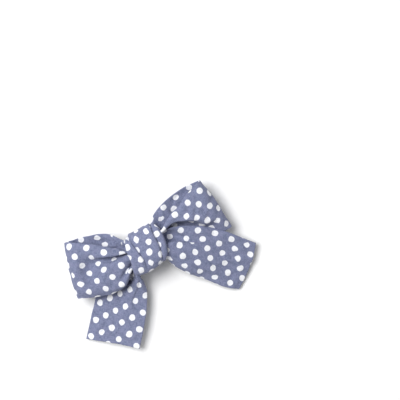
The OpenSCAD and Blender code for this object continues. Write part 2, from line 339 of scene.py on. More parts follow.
# ---- Loops and tails ----
# Each strip is a net of control points, heights measured from the middle of the knot. A row runs from the strip's
# upper edge to its lower one; neighbouring points that turn back on each other make a pleat.

K = 11  # points in a row


def row(x, y, z):
    """A row from its points' x, y and height. One x may stand for them all."""
    return np.stack(np.broadcast_arrays(x, y, z), -1).tolist()


def even(a, b, rise=0.0, bow=(0, 0), pleats=0.0, depth=0.0):
    """A plain row from a to b, crowned by rise, bowed sideways in plan, with even pleats."""
    t = np.linspace(0, 1, K)[:, None]
    row = np.array(a, float) * (1 - t) + np.array(b, float) * t
    crown = (4 * t * (1 - t))[:, 0]
    row[:, 2] += rise * crown + depth * np.sin(2 * np.pi * pleats * t[:, 0])
    row[:, 0] += bow[0] * crown
    row[:, 1] += bow[1] * crown
    return row.tolist()


LEFT_LOOP = [
    row(-6.2, [2.6, 2.4, 1.9, 2.3, 1.6, 0.8, -0.8, -2.2, -3, -4.2, -4.8],
        [2.2, 2.8, 2.8, 0.6, 2.0, 2.9, 3.2, 2.6, 1.0, 1.4, -0.6]),
    row([-8.8, -8.8, -8.8, -8.8, -8.8, -8.9, -9, -9, -9, -9.2, -9.3],
        [3.0, 2.9, 2.5, 3.2, 1.7, 0.8, -0.8, -2.2, -3.5, -4.9, -5.7],
        [2.4, 3.1, 3.3, -0.2, 0.6, 3.4, 3.9, 3.1, 0.4, 2.6, 1.0]),
    row([-13.4, -13.4, -13.3, -13.3, -13.3, -13.2, -13, -12.8, -12.6, -12.4, -12.3],
        [6.7, 5.2, 3.3, 4.9, 2.2, 0.8, -1.3, -3.4, -5.1, -6.8, -7.5],
        [3.3, 4.3, 4.5, 0.2, 0.9, 4.4, 5.1, 4.0, 1.6, 3.2, 1.3]),
    row([-16.8, -16.8, -16.7, -16.7, -16.7, -16.8, -16.8, -16.8, -16.9, -16.7, -16.3],
        [9.2, 6.8, 4.0, 5.2, 2.8, 0.9, -2, -5.0, -7.4, -10.2, -11.4],
        [3.6, 4.8, 4.8, 0.6, 0.5, 4.2, 5.1, 4.2, 2.7, 2.6, 0.5]),
    row([-21.8, -21.6, -21.4, -21.4, -21.4, -21.6, -21.8, -22, -22.1, -22.2, -22.3],
        [12.8, 9.6, 5.7, 5.2, 3.5, 1.6, -1.4, -5.2, -8.2, -10.7, -12.3],
        [3.4, 4.2, 4.2, 1.3, 0.8, 2.2, 4.3, 3.9, 2.7, 1.2, -1.2]),
    row([-27.6, -27.8, -28, -28, -28.1, -28.2, -28.4, -28.5, -28.6, -28.6, -28.7],
        [16.1, 12.8, 9.2, 6.6, 4.2, 1.8, -1.2, -4.4, -6.9, -9.2, -11],
        [2.4, 3.0, 1.8, 0.1, -0.9, -0.9, 0, 1.2, 1.2, 0.2, -1.8]),
    row([-31.4, -32, -32.8, -33.3, -33.8, -34.3, -34.7, -35.1, -35.4, -35.6, -35.7],
        [18.2, 14.8, 11.2, 8.4, 5.6, 2.8, 0, -2.6, -4.8, -6.6, -8.5],
        [0.6, 1.9, 2.4, 2.4, 2.2, 2.0, 1.8, 1.3, 0.5, -0.6, -2.4]),
    even((-33.2, 18.8, -2.2), (-38.7, -7.4, -4.4), 0, (-1.0, 0)),
    even((-32, 18.8, -4.8), (-37, -7.2, -7.0), -0.3, (-0.8, 0)),
    even((-24.6, 17.7, -5.6), (-27, -6.6, -7.2), -0.6),
    even((-16.6, 15.8, -3.6), (-17.6, -5, -5.2), -0.6),
    even((-12.0, 12.7, -2.2), (-12.4, -3.2, -3.8), 0, (0, 0), 1.5, 0.5),
    even((-8.8, 8.9, -1.6), (-9.2, -1.4, -3.0), 0, (0, 0), 2, 0.6),
    even((-6.2, 6.2, -1.6), (-6.2, -0.2, -2.8), 0, (0, 0), 2, 0.6)]
RIGHT_LOOP = [
    row(6.2, [5.0, 4.8, 4.4, 4.0, 3.8, 3.6, 3.0, 2.4, 1.6, 0.8, 0],
        [2.8, 3.3, 3.2, 2.6, 1.6, 0.4, -1.6, -1.4, -2.2, -1.8, -2.6]),
    row([10.3, 10.3, 10.3, 10.4, 10.4, 10.4, 10.5, 10.5, 10.5, 10.5, 10.5],
        [5.1, 5.0, 4.6, 4.3, 4.8, 5.0, 4.0, 2.6, 1.4, 0.6, -0.4],
        [3.2, 3.8, 3.8, 3.1, 1.8, -0.6, -3.8, -4.4, -4.7, -4.4, -4.8]),
    row([13.3, 13.3, 13.4, 13.5, 13.5, 13.5, 13.5, 13.5, 13.5, 13.5, 13.5],
        [7.2, 6.9, 6.2, 5.5, 6.2, 6.6, 5.0, 2.6, 1.0, -0.6, -2],
        [3.4, 4.2, 4.5, 3.8, 2.2, -1.2, -4.4, -4.8, -5.0, -5.0, -5.2]),
    row([17.6, 17.5, 17.3, 17.1, 17.1, 17.1, 17.1, 17.1, 17.2, 17.3, 17.4],
        [10.0, 9.3, 7.8, 6.3, 6.9, 7.3, 5.3, 2.4, 0.4, -1.6, -3.4],
        [3.5, 4.5, 4.9, 4.2, 2.2, -1.5, -4.5, -4.8, -5.1, -5.4, -5.7]),
    row([21.8, 21.7, 21.5, 21.5, 21.5, 21.5, 21.5, 21.6, 21.7, 21.8, 22],
        [11.6, 10.4, 8.0, 5.1, 5.3, 5.2, 3.6, 1.2, -1.0, -3, -5],
        [3.2, 4.2, 4.6, 4.0, 2.2, -1.0, -4.0, -4.9, -5.2, -5.4, -5.8]),
    row([26, 26, 26, 26.1, 26.2, 26.3, 26.4, 26.5, 26.6, 26.8, 27],
        [14.2, 11.8, 8.2, 3.4, 2.6, 2.6, 1.0, -1.0, -2.8, -4.6, -6.4],
        [2.6, 3.8, 4.0, 3.3, 2.0, -0.6, -3.8, -4.8, -5.3, -5.6, -6]),
    row([30.6, 30.7, 30.8, 31, 31.1, 31.3, 31.5, 31.7, 31.9, 32.1, 32.4],
        [16.4, 13.2, 9.4, 5.0, 1.4, -0.6, -1.0, -2.2, -4.0, -5.6, -7.4],
        [1.8, 2.8, 3.0, 2.6, 2.0, 0.9, -1.4, -3.8, -4.8, -5.3, -5.8]),
    row([34.4, 34.9, 35.3, 35.7, 36, 36.4, 36.8, 37.1, 37.4, 37.6, 37.8],
        [17.9, 14.9, 11.8, 8.6, 5.4, 2.2, -0.6, -3, -4.8, -6.4, -7.9],
        [0.4, 1.2, 1.4, 1.3, 0.9, 0.4, -0.4, -1.4, -2.6, -3.8, -5.0]),
    even((36.2, 18.6, -2.4), (40.3, -7.4, -5.8), 0, (0.4, 0)),
    even((35.2, 18.8, -4.8), (38.6, -7.4, -7.4), -0.3),
    row([28, 28.1, 28.2, 28.3, 28.4, 28.5, 28.6, 28.7, 28.8, 28.9, 29],
        [18.9, 16.4, 13.8, 11.3, 8.8, 6.2, 3.7, 1.2, -1.3, -3.9, -6.4],
        [-5.2, -6.3, -7.1, -7.5, -7.6, -7.4, -7.2, -7.2, -7.2, -7.3, -7.4]),
    row(20, [17.6, 15.4, 13.1, 10.9, 8.6, 6.4, 4.2, 1.9, -0.3, -2.6, -4.8],
        [-4.0, -5.1, -6.0, -6.4, -6.6, -6.6, -6.6, -6.6, -6.7, -6.8, -6.8]),
    even((14.2, 15.7, -3.0), (14, -3.8, -6.2), 0, (0, 0), 1.5, 0.4),
    even((9.2, 12.9, -2.2), (9.6, -2.8, -5.8), 0, (0, 0), 2, 0.4),
    even((6.2, 9.2, -1.4), (6.2, -2, -4.2), 0, (0, 0), 2, 0.4)]
LEFT_TAIL = [
    even((-6.2, -2.4, -2.6), (-5.6, -6.4, -2.2), 0, (0, 0), 2, 0.6),
    row([-9.6, -9.6, -9.6, -9.6, -9.5, -9.3, -9.0, -8.8, -8.6, -8.4, -8.2],
        [-2.6, -3.6, -4.6, -5.6, -6.4, -6.8, -7.4, -8.0, -8.6, -9.2, -9.6],
        [-3.8, -3.4, -4.0, -5.2, -5.0, -1.1, -0.4, -0.5, -1.3, -0.9, -2.6]),
    row([-15, -14.6, -14.0, -13.3, -12.4, -11.8, -10.9, -10.1, -9.3, -8.7, -8.0],
        [-4.6, -5.8, -7.2, -8.5, -9.7, -10.4, -11.1, -11.9, -12.5, -13.0, -13.4],
        [-6.0, -6.4, -8.0, -9.6, -9.0, -3.4, -2.2, -2.1, -2.9, -2.6, -4.6]),
    row([-21, -19.9, -18.4, -16.9, -15.5, -14.9, -13.6, -12.2, -10.8, -9.5, -8.2],
        [-5.4, -6.8, -8.6, -10.2, -12.2, -12.9, -13.9, -14.9, -15.8, -16.7, -17.5],
        [-7.4, -7.4, -7.4, -7.2, -6.8, -5.0, -4.2, -4.2, -4.7, -5.2, -6.6]),
    even((-29.2, -8.4, -8.9), (-11.2, -24.6, -6.6), 0.8),
    even((-36.2, -15.8, -10.2), (-15.9, -31.5, -7.2), 0.5),
    even((-44.6, -26.4, -12.0), (-23.7, -41.5, -8.2), 0.2, (0.2, 0.4))]
RIGHT_TAIL = [
    row([6.4, 6.4, 6.4, 6.3, 6.3, 6.3, 6.2, 6.1, 6, 5.8, 5.6],
        [3.2, 2.2, 1.0, -1.4, -0.6, -1.4, -2.4, -3.4, -4.4, -5.4, -6.2],
        [-0.6, -0.4, -1.0, -1.2, 0.2, 0.8, 0.8, 0.4, -0.4, -1.2, -2.2]),
    row([10.6, 10.4, 10.1, 9.8, 9.7, 9.3, 8.9, 8.4, 7.9, 7.4, 7],
        [4.3, 3.1, 1.0, -2.0, -1.5, -2.7, -4.1, -5.2, -6.2, -7, -7.8],
        [0.2, -2.0, -3.7, -3.7, 1.2, 1.7, 1.5, 1.0, 0.1, -1.2, -2.6]),
    row([13.2, 13.3, 13.4, 13.3, 13.4, 12.8, 11.8, 10.7, 9.6, 8.6, 7.7],
        [4.9, 3.1, 0.5, -3.5, -2.6, -4.3, -6.2, -8, -9.5, -10.7, -11.7],
        [0.6, -1.3, -3.4, -3.4, 0.9, 1.0, 1.0, 0.4, -0.7, -2.1, -3.8]),
    row([17.4, 17.6, 17.7, 17.2, 17.4, 16.6, 15.4, 14, 12.6, 11.4, 10.4],
        [4.0, 1.4, -1.7, -6.4, -4.7, -6.4, -8.6, -10.9, -13, -14.8, -16.3],
        [0.1, -0.8, -2.1, -2.2, -0.1, 0.2, 0.1, -0.5, -1.7, -3.3, -5.3]),
    row([22.6, 22.4, 22.1, 21.3, 21.3, 20.7, 19.5, 18.1, 16.6, 15.2, 13.9],
        [2.0, -0.8, -3.8, -8.0, -6.8, -8.8, -11.4, -14, -16.4, -18.6, -20.3],
        [-1.4, -1.4, -1.7, -2.0, -1.3, -1.1, -1.3, -2.0, -3.2, -4.8, -6.8]),
    row([29.6, 29.0, 28.2, 27.1, 26.8, 25.8, 24.6, 23.2, 21.8, 20.3, 18.4],
        [-1.7, -4.2, -6.8, -9.8, -10.6, -12.6, -14.9, -17.5, -19.9, -22.2, -24.8],
        [-3.2, -3.0, -3.0, -3.1, -3.0, -3.0, -3.3, -4.0, -5.0, -6.4, -8.4]),
    even((38.2, -8.9, -6.0), (24.2, -31, -9.8), 0.8),
    even((47.8, -19.3, -9.9), (30.8, -35.9, -12.4), 0.3, (0.9, -0.7))]


def make_strip(name, net, anchor_row, hold_ends, seed, **options):
    """A loop or tail from its net. Its dots are laid out from the anchor row."""
    net = np.array(net, float) + (0, 0, KNOT_Z)
    grid = surface(net)
    reached = np.linalg.norm(grid - net[anchor_row, K // 2], axis=2).min(1)
    anchor = int(reached.argmin())
    grid = settle(name + "_settling", grid, seed, hold_ends)
    return folded_strip(name, grid, anchor, seed=seed, **options)


left_loop = make_strip("loop_left", LEFT_LOOP, 7, True, 1)
right_loop = make_strip("loop_right", RIGHT_LOOP, 8, True, 2)
left_tail = make_strip("tail_left", LEFT_TAIL, 6, False, 3, cut_end=True)
right_tail = make_strip("tail_right", RIGHT_TAIL, 7, False, 4, cut_end=True)


# ---- Knot ----
# The band, row by row round the knot from its back: an angle (0 at the top edge as seen from the front, 90 at the
# front), then x and the height above the band's plain oval, from its left edge to its right one.

BAND_BACK = ([-8.2, -7.6, -5.6, -4.2, -3.8, -3.4, -1, 2, 4.1, 4.5, 4.9, 6.8, 7.6, 8.2],
             [-1.0, -0.3, 0, 0, -0.6, 0, 0.1, 0, 0, -0.8, 0, -0.1, -0.4, -1.2])
BAND = [
    (-90, *BAND_BACK),
    (-50, *BAND_BACK),
    (-18, [-6.4, -6.0, -5.6, -4.6, -3.6, -2.2, 0, 3, 5.0, 5.4, 5.6, 6.6, 7.3, 7.6],
     [-1.6, -0.9, -1.2, -0.2, -0.3, -0.2, 0.1, 0.3, 0.4, 0.1, -0.4, -0.3, -0.5, -1.3]),
    (14, [-6.3, -5.9, -5.5, -4.7, -3.6, -2.6, 0, 3, 5.2, 5.8, 5.8, 7.0, 7.9, 8.2],
     [-1.5, -0.9, -1.3, -0.1, -0.1, -0.1, 0, 0.3, 0.5, 0.3, -0.5, -0.3, -0.6, -1.6]),
    (38, [-7.1, -6.7, -5.4, -4.8, -4.2, -3.4, -0.8, 3, 5.2, 5.8, 5.7, 7.4, 8.5, 8.9],
     [-1.3, -0.4, -1.2, 0.1, 0.1, 0.1, 0.2, 0.3, 0.5, 0.2, -0.8, -0.4, -0.8, -1.8]),
    (60, [-8.1, -7.7, -6.2, -5.5, -5.1, -4.3, -0.8, 2.6, 5.0, 5.6, 5.5, 7.6, 8.8, 9.3],
     [-1.3, -0.3, 0, 0.2, -0.4, 0, 0.2, 0.2, 0.5, 0.1, -1.3, -0.6, -0.9, -1.9]),
    (76, [-8.6, -8.2, -6.6, -5.1, -4.6, -3.7, -0.8, 2.6, 5.0, 5.7, 5.5, 7.8, 9.1, 9.7],
     [-1.3, -0.3, 0.1, 0.3, -0.9, -0.1, 0.3, 0.2, 0.5, 0.1, -1.4, -0.6, -0.9, -2.0]),
    (90, [-8.8, -8.4, -6.4, -4.4, -3.9, -2.9, -0.6, 2.6, 5.1, 5.9, 5.7, 7.8, 9.0, 9.6],
     [-1.3, -0.3, 0.1, 0.4, -1.1, -0.1, 0.4, 0.3, 0.5, 0.1, -1.3, -0.6, -0.9, -2.0]),
    (104, [-9.0, -8.6, -6.4, -3.8, -3.3, -2.3, -0.4, 2.0, 4.6, 5.4, 5.1, 7.0, 8.4, 9.0],
     [-1.3, -0.3, 0.1, 0.4, -0.9, 0, 0.4, 0.3, 0.3, -0.1, -1.5, -0.7, -0.9, -2.0]),
    (122, [-9.5, -9.1, -6.8, -3.6, -3.1, -2.4, -0.6, 2.0, 4.0, 4.9, 4.7, 6.2, 7.7, 8.2],
     [-1.3, -0.4, 0, 0.2, -0.4, 0.1, 0.3, 0.1, 0, -0.5, -1.7, -1.0, -1.3, -2.1]),
    (146, [-9.8, -9.4, -7.2, -5, -3.8, -2.8, -0.8, 1.6, 3.2, 4.3, 4.4, 5.3, 6.2, 6.6],
     [-1.3, -0.5, 0, 0, -0.1, 0, 0, -0.3, -0.8, -1.2, -1.8, -1.6, -1.9, -2.6]),
    (180, [-9.4, -9.0, -7.2, -5, -4, -3, -1, 1.2, 2.8, 3.8, 4.1, 5.0, 5.7, 6.2],
     [-1.6, -0.9, -0.3, -0.1, -0.1, -0.1, -0.3, -0.8, -1.2, -1.6, -1.9, -1.9, -2.2, -2.8]),
    (225, [-8.6, -8.1, -6.2, -4.4, -3.9, -3.5, -1, 1.8, 3.6, 4.2, 4.6, 6.4, 7.2, 7.6],
     [-1.2, -0.4, 0, 0, -0.5, 0, 0, -0.2, -0.4, -1.2, -0.5, -0.6, -0.9, -1.6]),
    (270, *BAND_BACK)]


def squarish(c):
    """A sine or cosine whose circle is a little square."""
    return np.sign(c) * np.abs(c) ** 0.8


def band_net():
    """The band's control points: a rounded oval ring, its rows offset as listed."""
    half_y, half_z = (knot_high[1:] - knot_low[1:]) / 2 - (0.3, 0.5)

    def oval(angle):
        return np.array([half_y * squarish(np.cos(np.radians(angle))), half_z * squarish(np.sin(np.radians(angle)))])

    angles = np.array([row[0] for row in BAND], float)
    rows = np.array([np.transpose(row[1:]) for row in BAND])
    at = np.arange(-90, 271, 6.0)
    rows = spline(np.concatenate([rows[-2:-1], rows, rows[1:2]]),
                  np.concatenate([[angles[-2] - 360], angles, [angles[1] + 360]]), at)
    net = np.empty(rows.shape[:2] + (3,))
    for row, points, angle in zip(net, rows, at):
        ahead = oval(angle + 3) - oval(angle - 3)
        outward = np.array([-ahead[1], ahead[0]]) / np.hypot(*ahead)
        if outward @ oval(angle) < 0:
            outward = -outward
        row[:, 0] = points[:, 0]
        row[:, 1:] = oval(angle) + outward * points[:, 1:]
    return net + (0, 0, KNOT_Z)


band_grid = surface(band_net())
band_grid[0] = band_grid[-1] = (band_grid[0] + band_grid[-1]) / 2
wrap = folded_strip("knot_band", band_grid, 0, ring=True, seed=7)


def knot_stuffing():
    """The crossed strips inside the knot: a soft bundle with creases running out of its ends."""
    n, m = 48, 72  # points along it and round it
    length, girth = 16, 40  # of its cloth
    low, high = mm_box("knot_core")
    half = (high - low) / 2
    t = np.linspace(-1, 1, n)[:, None]
    a = np.linspace(0, 2 * np.pi, m, endpoint=False)[None]
    end = np.sqrt(np.maximum(0, 1 - np.abs(t) ** 5))
    swell = 0.96 * end * (1 + 0.05 * np.cos(5 * a + 1) * np.abs(t) + 0.03 * np.cos(9 * a))
    verts = np.stack([half[0] * t + 0 * a, half[1] * squarish(np.cos(a)) * swell,
                      half[2] * squarish(np.sin(a)) * swell], -1)
    k = np.arange(n * m).reshape(n, m)
    nxt = np.roll(k, -1, 1)
    faces = np.stack([k[:-1], nxt[:-1], nxt[1:], k[1:]], -1).reshape(-1, 4)
    uv = np.stack(np.meshgrid(np.arange(m + 1) * girth / m, np.arange(n) * length / n), -1)
    uvs = np.stack([uv[:-1, :-1], uv[:-1, 1:], uv[1:, 1:], uv[1:, :-1]], 2)
    return link_mesh("knot_stuffing", verts.reshape(-1, 3) + (high + low) / 2, faces, uvs)


core = knot_stuffing()


# ---- Backing: linings, felt, glue and stitches ----

RIB = 0.9  # from one cord of the ribbon to the next


def rounded(corners, radius):
    """A bent line with rounded corners, as closely spaced points."""
    corners = np.array(corners, float)
    line = [corners[:1]]
    t = np.linspace(0, 1, 13)[:, None]
    for a, b, c in zip(corners, corners[1:], corners[2:]):
        back, ahead = unit(a - b), unit(c - b)
        reach = min(radius / math.tan(math.acos(back @ ahead) / 2),
                    0.49 * np.linalg.norm(a - b), 0.49 * np.linalg.norm(c - b))
        line.append((1 - t) ** 2 * (b + back * reach) + 2 * t * (1 - t) * b + t ** 2 * (b + ahead * reach))
    return np.concatenate(line + [corners[-1:]])


def lamina(name, path, sides, thick, edge, relief, pitch=0.12, wide=44):
    """A thin soft piece along a bent line in the XZ plane. sides gives its two edges' y at each x and distance along
    it, edge is how far in its rim is rounded, and relief is what is added to each face at (x, y, distance, face)."""
    steps = np.linalg.norm(np.diff(path, axis=0), axis=1)
    path = path[np.concatenate([[True], steps > 1e-6])]
    run = path_lengths(path)
    turn = np.radians(np.array([10, 28, 48, 70]))  # places of points round the rim
    rim = 1 - np.cos(turn)
    at = np.concatenate([edge * rim, np.linspace(edge, run[-1] - edge, int(run[-1] / pitch)),
                         run[-1] - edge * rim[::-1]])
    end_depth = np.concatenate([np.sin(turn), np.ones(len(at) - 2 * len(turn)), np.sin(turn[::-1])])
    middle = np.stack([np.interp(at, run, path[:, k]) for k in (0, 1)], 1)
    ahead = unit(np.gradient(middle, axis=0))
    up = np.stack([-ahead[:, 1], ahead[:, 0]], 1)
    y_low, y_high = (np.broadcast_to(v, at.shape)[:, None] for v in sides(middle[:, 0], at))
    turn0 = np.concatenate([[0], turn])
    near = edge * (1 - np.cos(turn0))[None]
    inner = np.linspace(0, 1, wide)[None]
    y = np.concatenate([y_low + near, y_low + edge + (y_high - y_low - 2 * edge) * inner,
                        y_high - near[:, ::-1]], 1)
    depth = np.concatenate([np.sin(turn0), np.ones(wide), np.sin(turn0[::-1])])[None] * end_depth[:, None]
    x0 = np.broadcast_to(middle[:, :1], y.shape)
    s = np.broadcast_to(at[:, None], y.shape)
    faces = []
    for face in (1, -1):
        off = face * (thick / 2 + relief(x0, y, s, face)) * depth
        faces.append(np.stack([middle[:, :1] + up[:, :1] * off, y, middle[:, 1:] + up[:, 1:] * off], -1))
    return skin(name, *faces, y - y.min(), s, y.max() - y.min())


def grosgrain_strip(name, path, half_width, seed):
    """Ribbon with a cord across it at every rib, which ends in the small loops of its woven edge."""
    def sides(x, s):
        half = half_width(x) if callable(half_width) else half_width + 0 * x
        half = half - 0.05 + 0.04 * np.cos(2 * np.pi * s / RIB)
        sway = 0.08 * (value_noise(s / 9 + seed, 0 * s, seed) - 0.5)
        return sway - half, sway + half

    def relief(x, y, s, face):
        cord = np.sin(2 * np.pi * s / RIB + 0.25 * np.sin(y * 0.9 + seed))
        return -0.045 + 0.028 * cord - 0.012 * value_noise(s * 2, y * 3, seed)

    return lamina(name, path, sides, lining_t, 0.13, relief, pitch=0.1, wide=36)


top_low, top_high = mm_box("top_lining")
film_low, film_high = mm_box("glue_film")
pad_low, pad_high = mm_box("felt_pad")
thread_low, thread_high = mm_box("tacking_stitches")
grip_low, grip_high = mm_box("grip_lining")
sole_high = mm_box("bottom_lining")[1]
lining_t = grip_high[2] - grip_low[2]
half_lining = lining_t / 2
TUCK = 9.9  # the lining comes back under the top plate by this much

upper, lower, fold = top_high[2] - half_lining, top_low[2] + half_lining, top_high[0] - half_lining
lining_above = grosgrain_strip(
    "ribbon_over_plate",
    rounded([(top_low[0], upper), (fold, upper), (fold, lower), (top_high[0] - TUCK, lower)], 0.45), top_high[1], 11)
grip_z = grip_high[2] - half_lining
lining_inside = grosgrain_strip(
    "ribbon_grip", rounded([(grip_low[0], grip_z), (-9, grip_z), (grip_high[0], grip_z)], 0.4), grip_high[1], 12)


def sole_width(x):
    """Half the width of the lower jaw's lining: a prong, the hinge seat and the wider finger lever."""
    lever, seat, prong = sole_high[1], sole_high[1] - 0.8, sole_high[1] - 1.5
    half = np.interp(x, [4, 5.8, 12.2, 13.4], [prong, seat, seat, lever])
    return half - np.interp(x, [sole_high[0] - 1.1, sole_high[0]], [0, 1.0])


SOLE = [(-22.35, 4.44), (-20.8, 4.44), (-11.62, 0.19), (1.34, 0.19),
        (5.3, 1.29), (12.1, 1.29), (17.3, 0.19), (23.15, 0.19)]
lining_below = grosgrain_strip("ribbon_under_jaw", rounded(SOLE, 0.9), sole_width, 13)


def round_ended(low, high, radius):
    """The edges of a plate with rounded corners."""
    def sides(x, s):
        past = np.clip(np.maximum(low[0] + radius - x, x - high[0] + radius), 0, radius)
        pull = radius - np.sqrt(radius ** 2 - past ** 2)
        return low[1] + pull, high[1] - pull
    return sides


THREAD_INSET = 0.17  # from the edge of the stitches' box to the thread's middle
STITCHES = [(x, y) for y in (thread_low[1] + THREAD_INSET, thread_high[1] - THREAD_INSET)
            for x in (thread_low[0] + 1.37, (thread_low[0] + thread_high[0]) / 2, thread_high[0] - 1.37)]
STITCH = 2.4  # from where a stitch comes out to where it goes in


def felt_relief(x, y, s, face):
    """A fuzzy face, pulled in where each stitch goes through."""
    fuzz = 0.05 * value_noise(x * 2.6, y * 2.6, 21 + face) + 0.03 * value_noise(x * 6, y * 6, 24 + face) - 0.05
    for sx, sy in STITCHES:
        for end in (-1, 1):
            near = np.exp(-((x - sx - end * STITCH / 2) ** 2 + (y - sy) ** 2) / 0.18)
            fuzz = fuzz - (0.16 if face < 0 else 0.05) * near
    return fuzz


def felt_sides(x, s):
    low, high = round_ended(pad_low, pad_high, 3.0)(x, s)
    return low + 0.12 * value_noise(x / 1.4, 0 * x, 31), high - 0.12 * value_noise(x / 1.4, 0 * x, 32)


def glue_sides(x, s):
    low, high = round_ended(film_low, film_high, 2.0)(x, s)
    return low + 0.5 * value_noise(x / 2.2, 0 * x, 33), high - 0.5 * value_noise(x / 2.2, 0 * x, 34)


pad_z, film_z = (pad_low[2] + pad_high[2]) / 2, (film_low[2] + film_high[2]) / 2
felt = lamina("felt_backing", np.array([(pad_low[0], pad_z), (0, pad_z), (pad_high[0], pad_z)]), felt_sides,
              pad_high[2] - pad_low[2] - 0.02, 0.22, felt_relief, pitch=0.16, wide=84)
glue = lamina("glue_squeezed_out", np.array([(film_low[0], film_z), (0, film_z), (film_high[0], film_z)]), glue_sides,
              film_high[2] - film_low[2] - 0.02, 0.14, lambda x, y, s, face: -0.02 * value_noise(x, y, 35),
              pitch=0.14, wide=48)


def tube(line, radius, sideways, sides, start=0):
    """Points and faces of a closed tube along a line. sideways is a direction that the line never takes."""
    ahead = unit(np.gradient(line, axis=0))
    out = unit(np.cross(ahead, sideways))
    over = np.cross(out, ahead)
    around = np.linspace(0, 2 * np.pi, sides, endpoint=False)[None, :, None]
    rings = line[:, None] + radius * (np.cos(around) * out[:, None] + np.sin(around) * over[:, None])
    k = start + np.arange(len(line) * sides).reshape(-1, sides)
    nxt = np.roll(k, -1, 1)
    faces = np.stack([k[:-1], k[1:], nxt[1:], nxt[:-1]], -1).reshape(-1, 4).tolist()
    return rings.reshape(-1, 3), faces + [k[0].tolist(), k[-1, ::-1].tolist()]


def two_ply(name, courses, radius, lay=0.75):
    """Sewing thread along each course: two strands turned round each other."""
    verts, faces = [], []
    for course in courses:
        run = path_lengths(course)
        at = np.linspace(0, run[-1], int(run[-1] / 0.05))
        line = spline(course, run, at)
        ahead = unit(np.gradient(line, axis=0))
        side = unit(np.cross(ahead, (0, 0, 1.0)))
        rise = np.cross(side, ahead)
        for phase in (0, np.pi):
            turn = (2 * np.pi * at / lay + phase)[:, None]
            strand = line + radius / 2 * (np.cos(turn) * side + np.sin(turn) * rise)
            points, more = tube(strand, radius / 2 * 1.05, (0, 0.3, 1.0), 10, sum(len(v) for v in verts))
            verts.append(points)
            faces += more
    return link_mesh(name, np.concatenate(verts), faces)


def stitch_course(x, y, index):
    """One stitch under the felt: down through it, along its face and up again."""
    lean = math.radians((4, -6, 3, -3, 5, -4)[index])  # sewn by hand: no two alike
    half = STITCH / 2 * (1, 0.94, 1.03, 0.97, 1, 0.95)[index]
    low, top = thread_low[2] + THREAD_INSET, pad_low[2]
    share, z = np.array([(-1, top + 0.08), (-0.93, top - 0.04), (-0.75, low + 0.03), (-0.3, low), (0.3, low),
                         (0.75, low + 0.03), (0.93, top - 0.04), (1, top + 0.08)]).T
    return np.stack([x + half * share * math.cos(lean), y + half * share * math.sin(lean), z], 1)


tacking = two_ply("tacking_thread", [stitch_course(x, y, i) for i, (x, y) in enumerate(STITCHES)], 0.16)


COIL_TURNS = 4.5  # which turns the leg on the plate to the one on the lower jaw
WIRE_R = 0.22  # the spring wire's radius
COIL_Y = mm_box("torsion_spring")[1][1] - WIRE_R  # the two legs lie this far from the middle
LEG_X = 2.2  # a leg leaves the coil this far past the pin


def wound_spring():
    """Torsion spring wire: the leg on the plate, the coil round the pin, the leg on the lower jaw."""
    low, high = mm_box("torsion_spring")
    pin = sum(mm_box("hinge_pin")) / 2
    coil_r = pin[0] - low[0] - WIRE_R
    turn = np.radians(np.arange(90, 90 + 360 * COIL_TURNS + 1, 6))
    coil = np.stack([pin[0] + coil_r * np.cos(turn), np.linspace(-COIL_Y, COIL_Y, len(turn)),
                     pin[2] + coil_r * np.sin(turn)], 1)
    ends = [np.array([[high[0], -COIL_Y, high[2] - WIRE_R], [pin[0] + LEG_X, -COIL_Y, pin[2] + coil_r]]),
            np.array([[pin[0] + LEG_X, COIL_Y, pin[2] - coil_r], [high[0], COIL_Y, low[2] + WIRE_R]])]
    legs = [a + (b - a) * np.linspace(0, 1, 12)[:, None] for a, b in ends]
    line = np.concatenate([legs[0], coil, legs[1]])
    run = path_lengths(line)
    tip = WIRE_R * (1 - np.cos(np.radians([8, 28, 50, 72])))
    at = np.concatenate([tip, np.linspace(WIRE_R, run[-1] - WIRE_R, int(run[-1] / 0.12)), run[-1] - tip[::-1]])
    path = spline(line, run, at)
    past = np.clip(np.maximum(WIRE_R - at, at - run[-1] + WIRE_R), 0, WIRE_R)
    radius = np.sqrt(WIRE_R ** 2 - past ** 2)[:, None, None]
    return link_mesh("spring_wire", *tube(path, radius, (0, 1.0, 0), 16))


spring = wound_spring()


# ---- Materials ----

class Value:
    """A number in a material's nodes, for plain arithmetic."""

    def __init__(self, graph, socket):
        self.graph, self.socket = graph, socket

    def math(self, operation, other=0.0):
        return self.graph.value("ShaderNodeMath", {0: self, 1: other}, operation=operation)

    def __add__(self, other):
        return self.math("ADD", other)

    def __sub__(self, other):
        return self.math("SUBTRACT", other)

    def __mul__(self, other):
        return self.math("MULTIPLY", other)


